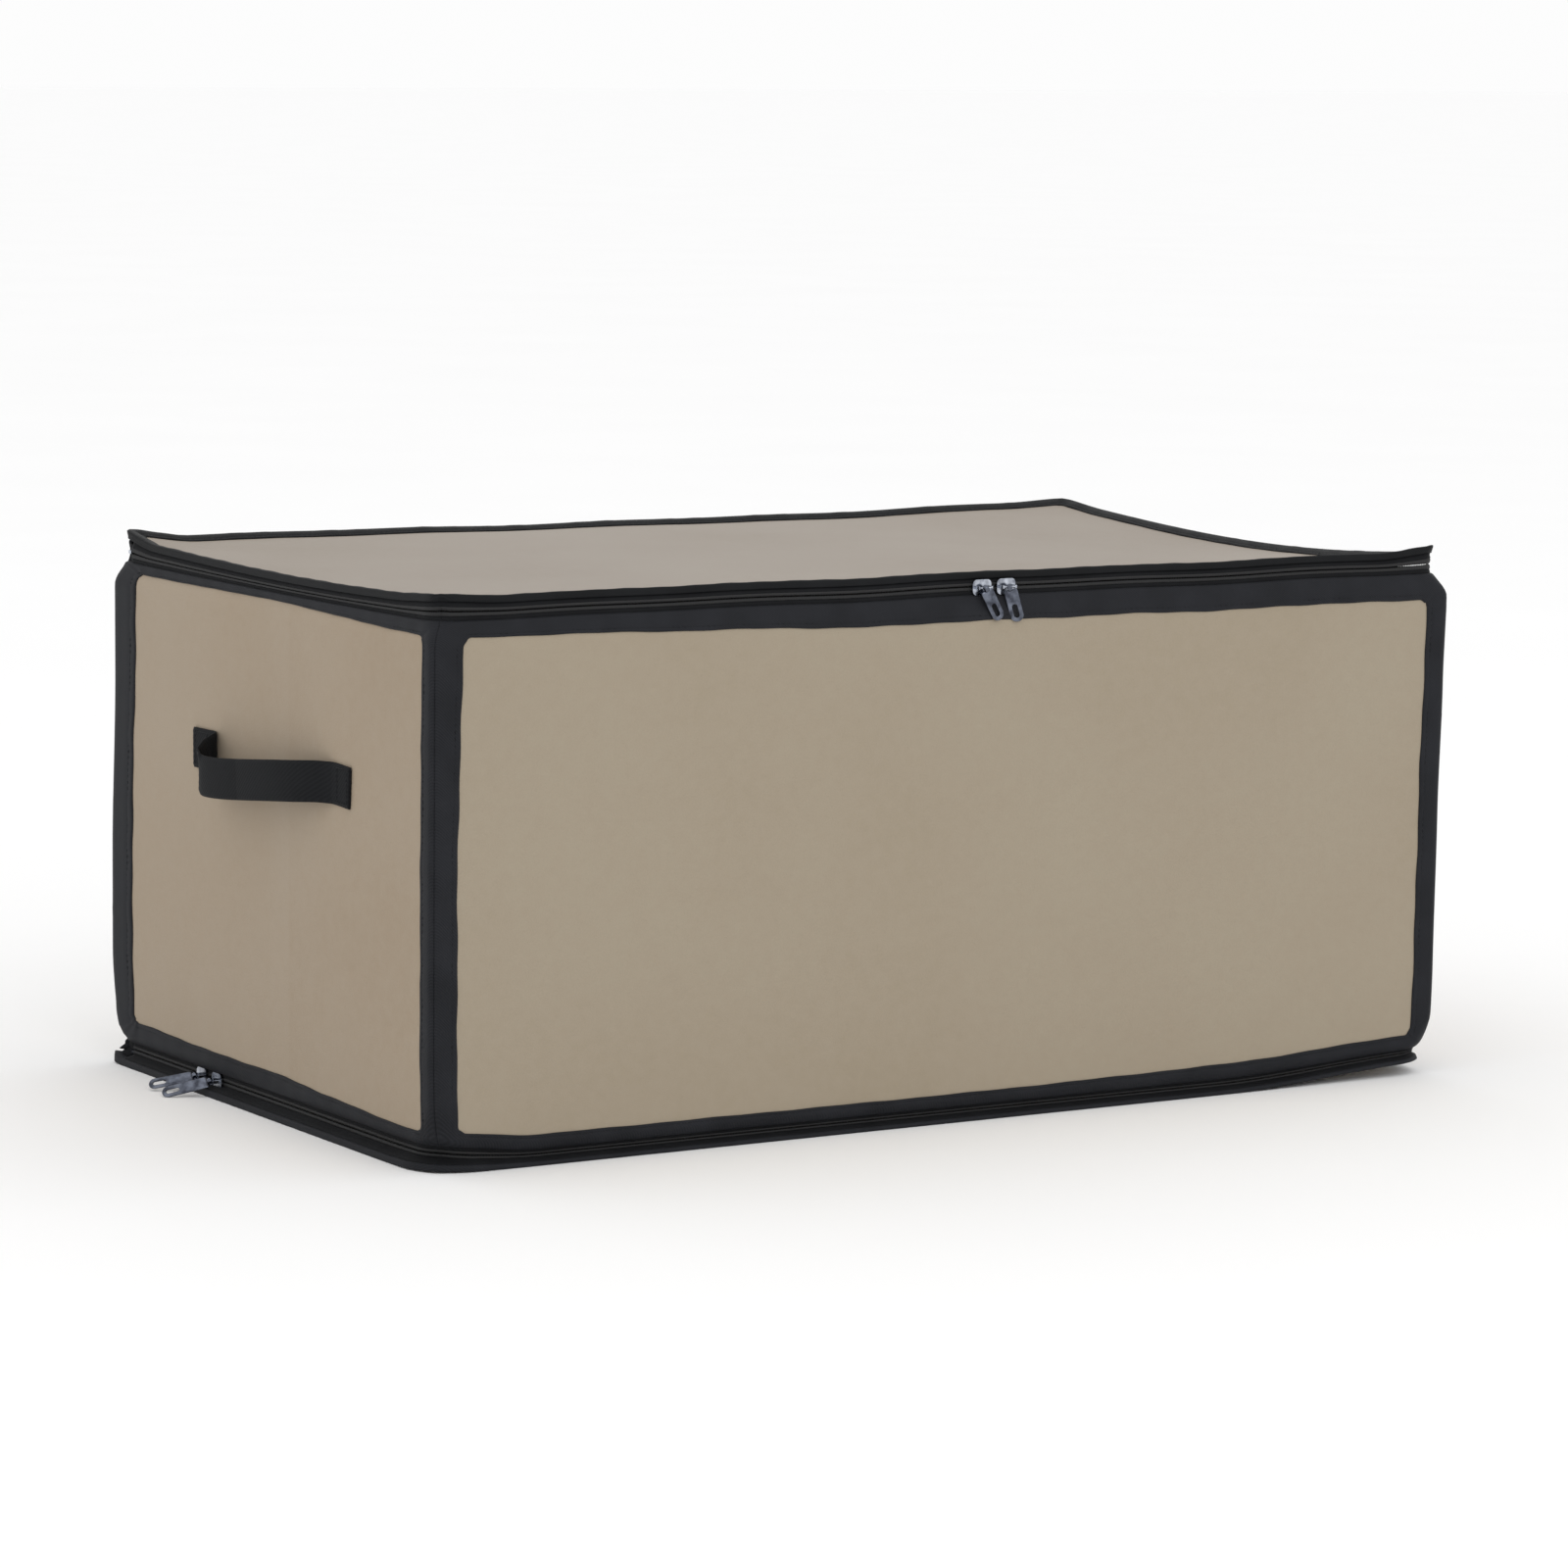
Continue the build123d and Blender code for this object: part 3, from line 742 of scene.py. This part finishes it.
def panel(
    name, face, rect, flaps, bodies, mitre=(), boards=None, blend_at=None, replaced=(), seed=0.0,
    cover=COVER, edge=TAPE, stitched=True,
):
    """Every layer of one face. bodies is one body, or the two halves of a side; only the first is read, and
    with blend_at given the sheets, tape and stitching stay fixed in place.
    """
    low_p, high_p, low_q, high_q = rect
    across, up = (low_p + EDGE, high_p - EDGE), (low_q + EDGE, high_q - EDGE)

    def settle(piece):
        if blend_at:
            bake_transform(piece)
        else:
            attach(piece, bodies[0])

    for layer, deep, material, inset in (
        ("cover", COVER_W, cover, 0.0), ("lining", LINING_W, LINING, PANEL_DEEP - EDGE if mitre else 0.0),
    ):
        mesh = Mesh()
        span = (across[0] + inset, across[1] - inset)
        slab(mesh, face, span, up, deep, 5 * MM)
        sheet = mesh.piece(f"{name}_{layer}_cloth", material)
        settle(sheet)
        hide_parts(*[f"{node}_{layer}" for node in replaced])

    for node, body, run in boards:
        mesh = Mesh()
        slab(mesh, face, run, up, BOARD_W, 10 * MM)
        board = mesh.piece(f"{node}_stiffener", BOARD)
        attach(board, body)
        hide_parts(f"{node}_board")

    mesh = Mesh()
    binding(mesh, face, rect, flaps, mitre, seed=seed)
    tape = mesh.piece(f"{name}_edge_tape", edge)
    settle(tape)
    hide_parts(*[f"{node}_binding" for node in replaced])

    if stitched:
        mesh = Mesh()
        stitches(mesh, face, rect, flaps)
        row = mesh.piece(f"{name}_stitching", THREAD, flat=True)
        settle(row)


def between(low, middle, high):
    """A flap's width along its side, by three widths at its start, middle and end."""
    def width(t):
        if t < 0.5:
            return (low + (middle - low) * smooth(2 * t)) * MM
        return (middle + (high - middle) * smooth(2 * t - 1)) * MM
    return width


BOARD_END = HALF_D - PANEL_DEEP
CREASE = 1.5 * MM
BOTH = ("low", "high")
wall_rect = (-HALF_L, HALF_L, WALL_LOW, WALL_HIGH)
side_rect = (-HALF_D, HALF_D, WALL_LOW, WALL_HIGH)

panel(
    "front", front, wall_rect,
    (between(7.4, 6.8, 9.2), between(15.6, 14.6, 13.4), between(13.2, 12.4, 7.6), between(14.6, 12.2, 12.4)),
    ("front_wall",), BOTH,
    [("front", "front_wall", (-HALF_L + PANEL_DEEP, HALF_L - PANEL_DEEP))], replaced=("front",), seed=3.0,
)
panel(
    "back", back, (-HALF_L, HALF_L, BACK_LOW, BACK_HIGH),
    (9 * MM, 12 * MM, 9 * MM, 12 * MM), ("back_wall",), BOTH,
    [("back", "back_wall", (-HALF_L + PANEL_DEEP, HALF_L - PANEL_DEEP))], replaced=("back",), seed=50.0,
)
# on the left face p runs to the front, so its low end is at the back
panel(
    "left_side", left, side_rect,
    (between(12.4, 10.2, 6.6), between(12.0, 12.0, 11.0), between(6.8, 3.8, 4.6), between(29.0, 26.0, 25.0)),
    ("left_rear_side", "left_front_side"), BOTH,
    [
        ("left_rear", "left_rear_side", (-BOARD_END, -CREASE)),
        ("left_front", "left_front_side", (CREASE, BOARD_END)),
    ],
    ((-HALF_L, 5 * MM, 0.14), (-HALF_L, -5 * MM, 0.14)), ("left_rear", "left_front"), 110.0, SIDE_COVER_CREASE_SHADE,
)
panel(
    "right_side", right, side_rect,
    (between(9.0, 11.0, 10.0), 18 * MM, between(7.0, 6.0, 7.0), 16.5 * MM),
    ("right_rear_side", "right_front_side"), BOTH,
    [
        ("right_rear", "right_rear_side", (CREASE, BOARD_END)),
        ("right_front", "right_front_side", (-BOARD_END, -CREASE)),
    ],
    ((HALF_L, 5 * MM, 0.14), (HALF_L, -5 * MM, 0.14)), ("right_rear", "right_front"), 170.0, SIDE_COVER_CREASE_SHADE,
)
plan_rect = (-HALF_L, HALF_L, -HALF_D, HALF_D)
panel(
    "lid", lid, plan_rect, (7 * MM, 8.5 * MM, 8.5 * MM, 9 * MM), ("lid",), (),
    [("lid", "lid", (-HALF_L + EDGE, HALF_L - EDGE))], replaced=("lid",), seed=230.0,
    cover=LID_COVER_PAINTED_SHEEN, edge=LID_TAPE_PAINTED_SHADE,
)
panel(
    "base", base, plan_rect, (10 * MM, 10 * MM, 10 * MM, 10 * MM), ("base",), (),
    [("base", "base", (-HALF_L + EDGE, HALF_L - EDGE))], replaced=("base",), seed=290.0, stitched=False,
)

# ---------------------------------------------------------------------------------------------------
# zippers
# ---------------------------------------------------------------------------------------------------

def row_height(node, end):
    """Middle height of a coil row: the low or the high end of a node that may hold two."""
    low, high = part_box(node)
    half = 0.85 * MM
    return low[2] + half if end == "low" else high[2] - half


BASE_COIL = row_height("base_zip_coil", "low")
LID_COIL = row_height("lid_zip_coil", "low")
WALL_COILS = {"bottom": row_height("front_zip_coils", "low"), "top": row_height("front_zip_coils", "high")}
TUCKED = 4 * MM  # how far a zipper tape runs in behind the binding

rows = {  # each edge of a zipper: coil height, tape's two heights, and which way the coil's heads point
    "lid": (LID_COIL, (LID_COIL + 0.5 * MM, LID_LOW + 2.4 * MM), -1),
    "wall_top": (WALL_COILS["top"], (WALL_HIGH - TUCKED, WALL_COILS["top"] - 0.5 * MM), 1),
    "wall_bottom": (WALL_COILS["bottom"], (WALL_COILS["bottom"] + 0.5 * MM, WALL_LOW + TUCKED), -1),
    "base": (BASE_COIL, (BASE_TOP - 2.0 * MM, BASE_COIL - 0.5 * MM), 1),
}
left_run, right_run = (-ZIP_END, HALF_D), (-HALF_D, ZIP_END)
front_run = (-HALF_L, HALF_L)


def zip_edge(name, row, runs, nodes, settle):
    coil_height, (tape_low, tape_high), toward = rows[row]
    tape, teeth = Mesh(), Mesh()
    for face, across, mitre in runs:
        run_along(tape, face, across, tape_section(tape_low, tape_high), mitre)
        coil(teeth, face, across, coil_height, toward, mitre)
    tape = tape.piece(f"{name}_knit", ZIP_TAPE)
    teeth = teeth.piece(f"{name}_teeth", COIL)
    for piece, kind in ((tape, nodes[0]), (teeth, nodes[1])):
        settle(piece)
        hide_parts(*kind)


AROUND = [(left, left_run, ("high",)), (front, front_run, BOTH), (right, right_run, ("low",))]
zip_edge("lid_zip", "lid", AROUND, (["lid_zip_tape"], ["lid_zip_coil"]), lambda piece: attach(piece, "lid"))
zip_edge(
    "base_zip", "base", AROUND, (["base_zip_tape"], ["base_zip_coil"]), lambda piece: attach(piece, "base"),
)
for end in ("top", "bottom"):
    zip_edge(
        f"front_{end}_zip", f"wall_{end}", [(front, front_run, BOTH)],
        (["front_zip_tapes"], ["front_zip_coils"]), lambda piece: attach(piece, "front_wall"),
    )
    for side, face, run, corner in (
        ("left", left, left_run, ("high",)), ("right", right, right_run, ("low",)),
    ):
        x = math.copysign(HALF_L, -1 if side == "left" else 1)
        zip_edge(
            f"{side}_{end}_zip", f"wall_{end}", [(face, run, corner)],
            tuple([f"{side}_{half}_zip_{kind}" for half in ("rear", "front")] for kind in ("tapes", "coils")),
            lambda piece, side=side, x=x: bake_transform(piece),
        )

# a patch of tape closes each end of both zippers at the back corners
for end, heights in (
    ("top", (WALL_HIGH - 2 * MM, BACK_HIGH - 0.4 * MM)), ("bottom", (BASE_TOP - 1 * MM, WALL_LOW + 2 * MM)),
):
    for side, face, run in (
        ("left", left, (-HALF_D + 2 * MM, -ZIP_END - 2 * MM)),
        ("right", right, (ZIP_END + 2 * MM, HALF_D - 2 * MM)),
    ):
        mesh = Mesh()
        slab(mesh, face, run, heights, (-3.0 * MM, -2.75 * MM))
        patch = mesh.piece(f"{side}_{end}_zip_end_patch", ZIP_TAPE)
        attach(patch, "back_wall")

# ---------------------------------------------------------------------------------------------------
# hinge tapes along the back, and the piping inside each vertical corner
# ---------------------------------------------------------------------------------------------------

def hinge_tape(name, section, node):
    mesh = Mesh()
    run_along(mesh, back, (-HALF_L + 12 * MM, HALF_L - 12 * MM), section)
    tape = mesh.piece(name, TAPE)
    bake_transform(tape)
    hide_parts(node)


def strip_section(heights, out):
    """A thin tape's section up the outside of the back wall."""
    outer = [(q, (out + 0.45) * MM) for q in heights]
    return outer + [(q, out * MM) for q in reversed(heights)]


LID_HINGE = next(j for j in frame["joints"] if j["name"] == "lid_hinge")["pos_m"]
TIP_HINGE = next(j for j in frame["joints"] if j["name"] == "walls_tip")["pos_m"]
hinge_tape(
    "lid_hinge_strip",
    strip_section([LID_HINGE[2] + d * MM for d in (-11, -8, -5, -3, -2, -1, 0, 1, 2, 3)], 0.3),
    "lid_hinge_tape",
)
hinge_tape(
    "base_hinge_strip",
    strip_section([TIP_HINGE[2] + d * MM for d in (-3, -2, -1, 0, 1, 2, 3, 5, 8, 11)], 0.3),
    "base_hinge_tape",
)

for name, sign_x, sign_y, body in (
    ("front_left", -1, -1, "front_wall"), ("front_right", 1, -1, "front_wall"),
    ("back_left", -1, 1, "back_wall"), ("back_right", 1, 1, "back_wall"),
):
    mesh = Mesh()
    rings = []
    radius, deep = 2.5 * MM, PANEL_DEEP
    for z in steps(WALL_LOW + 3 * MM, WALL_HIGH - 3 * MM, 6 * MM):
        middle = warp(sign_x * (HALF_L - deep), sign_y * (HALF_D - deep), z)
        turns = [math.tau * k / 12 for k in range(12)]
        rings.append([middle + Vector((math.cos(turn), math.sin(turn), 0)) * radius for turn in turns])
    tube(mesh, rings)
    piping = mesh.piece(f"{name}_corner_piping", TAPE)
    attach(piping, body)

# ---------------------------------------------------------------------------------------------------
# handles: each strap is two lengths that meet over the crease, each carried by its own half of the side
# ---------------------------------------------------------------------------------------------------

STRAP_HALF = 10.4 * MM
# distance from the crease towards the back, stand-off from the cover, and height of the strap's middle
STRAP = [
    (80, 0.9, 179.8), (61.5, 0.9, 180), (55.5, 1.2, 179.8), (52.5, 4.5, 178.8), (50.5, 9, 176.6),
    (47, 14, 173.2), (40, 17.2, 170.6), (25, 18.4, 170.8), (5, 18.4, 172.3), (-16, 17.4, 174.4),
    (-36, 15, 176.4), (-54, 11, 178), (-68, 5.8, 179.2), (-76.5, 2.2, 179.4), (-82.5, 0.9, 179.3),
    (-97.5, 0.9, 178.6),
]


def strap_line():
    """The strap's middle line: a smooth curve through its points."""
    line = []
    for n in range(len(STRAP) - 1):
        a, b, c, d = (STRAP[min(max(k, 0), len(STRAP) - 1)] for k in (n - 1, n, n + 1, n + 2))
        for m in range(8):
            t = m / 8
            line.append([
                0.5 * (2 * b[k] + (c[k] - a[k]) * t + (2 * a[k] - 5 * b[k] + 4 * c[k] - d[k]) * t * t
                       + (3 * b[k] - a[k] - 3 * c[k] + d[k]) * t ** 3) * MM
                for k in range(3)
            ])
    return line + [[v * MM for v in STRAP[-1]]]


def strap_rings(sign, line):
    """Rings of a flat strap with rolled edges and fine lengthwise ribs."""
    rings = []
    for n, (y, out, z) in enumerate(line):
        before, after = line[max(n - 1, 0)], line[min(n + 1, len(line) - 1)]
        step_y, step_out, step_z = (b - a for a, b in zip(before, after))
        along = Vector((sign * step_out, step_y, step_z)).normalized()
        width = Vector((0, 0, 1)) - along * along.z
        width.normalize()
        outward = width.cross(along) * (1 if width.cross(along).x * sign > 0 else -1)
        if abs(outward.x) < 1e-3:
            outward = along.cross(width)
        rest = left(-y, z, 0) if sign < 0 else right(y, z, 0)
        middle = Vector((rest.x + sign * (out - 0.6 * MM), y, z))
        ring = []
        for k in range(13):
            v = -1 + k / 6
            rib = (0.12 if k % 2 else 0.0) * MM
            edge = 0.35 if abs(v) > 0.97 else 0.8
            ring.append(middle + width * v * STRAP_HALF + outward * (edge * MM + rib))
        for k in range(13):
            v = 1 - k / 6
            edge = 0.35 if abs(v) > 0.97 else 0.7
            ring.append(middle + width * v * STRAP_HALF - outward * edge * MM)
        rings.append(ring)
    return rings


for side, sign in (("left", -1), ("right", 1)):
    line = strap_line()
    rings = strap_rings(sign, line)
    split = min(range(len(line)), key=lambda n: abs(line[n][0]))
    near_rear, near_front = (
        [a.lerp(b, 0.04) for a, b in zip(rings[split], rings[other])] for other in (split - 1, split + 1)
    )
    for end, part in (
        ("rear", rings[:split] + [near_rear, rings[split]]),
        ("front", [rings[split], near_front] + rings[split + 1:]),
    ):
        mesh = Mesh()
        tube(mesh, part)
        strap = mesh.piece(f"{side}_handle_{end}", WEBBING)
        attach(strap, f"{side}_{end}_side")
        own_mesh(strap)
        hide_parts(f"{side}_handle")
        # a box of stitching holds the sewn end
        mesh = Mesh()
        near, far = (63.5, 78) if end == "rear" else (-85, -95.5)
        middle_z = 179.9 if end == "rear" else 179
        for k in range(26):
            t = k / 26 * 4
            edge, along = int(t), t - int(t)
            corners = [(near, -8.6), (far, -8.6), (far, 8.6), (near, 8.6), (near, -8.6)]
            a, b = corners[edge], corners[edge + 1]
            y, dz = (a[0] + (b[0] - a[0]) * along) * MM, (a[1] + (b[1] - a[1]) * along) * MM
            step = Vector((0, (b[0] - a[0]), (b[1] - a[1]))).normalized() * 1.1 * MM
            rest = left(-y, middle_z * MM, 0) if sign < 0 else right(y, middle_z * MM, 0)
            at = Vector((rest.x + sign * 1.25 * MM, y, middle_z * MM + dz))
            out = Vector((sign, 0, 0)) * 0.35 * MM
            cross = step.cross(out).normalized() * 0.3 * MM
            mesh.add(
                [at - step, at + cross, at + out, at - cross, at - out, at + step],
                [[0, 1, 2], [0, 2, 3], [0, 3, 4], [0, 4, 1], [5, 2, 1], [5, 3, 2], [5, 4, 3], [5, 1, 4]],
            )
        sewn = mesh.piece(f"{side}_handle_{end}_stitching", THREAD, flat=True)
        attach(sewn, f"{side}_{end}_side")

# ---------------------------------------------------------------------------------------------------
# metal: the CAD sliders and stops with softened edges, and pulls with a loop round the bridge
# ---------------------------------------------------------------------------------------------------

for name, node in frame["nodes"].items():
    if "slider" in name or "stops" in name:
        node.data.materials.clear()
        node.data.materials.append(METAL)
        soften = node.modifiers.new("soften", "BEVEL")
        soften.width = 0.22 * MM
        soften.segments = 2
        soften.limit_method = "ANGLE"

PULL_HALF, PULL_THICK = 3.5 * MM, 0.95 * MM
SLOT_LONG, SLOT_HALF, SLOT_END = 7.0 * MM, 1.35 * MM, 2.2 * MM
LOOP_RADIUS = 1.5 * MM


def stadium(low, high, half, count=44, shoulder=None):
    """Points round a tab between two distances along it, with round ends, starting at its far tip."""
    radius_low = half if shoulder is None else shoulder
    points = []
    for k in range(count):
        angle = math.tau * k / count
        c, s = math.cos(angle), math.sin(angle)
        radius = half if c > 0 else radius_low
        middle = high - half if c > 0 else low + radius_low
        points.append((middle + radius * c, math.copysign(half - radius, s) * (abs(s) > 1e-6) + radius * s))
    return points


def pull_tab(name, body, pivot, along, normal, length):
    """A pull: a thin tab with a rounded tip and a long slot, and a wire loop round the bridge bar."""
    along = along.normalized()
    normal = (normal - along * normal.dot(along)).normalized()
    across = normal.cross(along)
    outer = stadium(1.4 * MM, length, PULL_HALF, shoulder=1.2 * MM)
    slot = stadium(length - SLOT_LONG - SLOT_END, length - SLOT_END, SLOT_HALF)
    section = [
        (0.0, -0.36), (0.0, 0.36), (0.12, 0.5), (0.5, 0.5), (0.88, 0.5),
        (1.0, 0.3), (1.0, -0.3), (0.88, -0.5), (0.5, -0.5), (0.12, -0.5),
    ]
    mesh = Mesh()
    rings = []
    for (u0, v0), (u1, v1) in zip(slot, outer):
        rings.append([
            pivot + along * (u0 + (u1 - u0) * a) + across * (v0 + (v1 - v0) * a) + normal * b * PULL_THICK
            for a, b in section
        ])
    tube(mesh, rings, closed=True)
    rings = []
    for k in range(20):
        angle = math.tau * k / 20
        spoke = along * math.cos(angle) + normal * math.sin(angle)
        middle = pivot + spoke * LOOP_RADIUS + along * 0.5 * MM
        turns = [math.tau * m / 8 for m in range(8)]
        rings.append([
            middle + (spoke * math.cos(turn) * 0.5 + across * math.sin(turn) * 1.3) * MM for turn in turns
        ])
    tube(mesh, rings, closed=True)
    tab = mesh.piece(name, PULL_METAL_PAINTED_SHADE)
    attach(tab, body)
    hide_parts(body)
    soften = tab.modifiers.new("soften", "BEVEL")
    soften.width, soften.segments, soften.limit_method = 0.1 * MM, 1, "ANGLE"


def pivot_of(joint):
    return Vector(next(j for j in frame["joints"] if j["name"] == joint)["pos_m"])


# (body, direction of the tab, the way its face looks, length in mm)
for body, along, normal, length in (
    ("top_pull_left", (0.46, -0.05, -0.88), (-0.1, -0.97, 0.1), 18.5),
    ("top_pull_right", (0.27, -0.06, -0.96), (-0.5, -0.86, -0.05), 18.5),
    ("bottom_pull_front", (-0.88, 0.42, -0.24), (-0.45, -0.5, 0.72), 26),
    ("bottom_pull_rear", (-0.84, 0.5, -0.2), (-0.4, -0.45, 0.78), 25),
):
    pull_tab(f"{body}_tab", body, pivot_of(f"{body}_swing"), Vector(along), Vector(normal), length * MM)
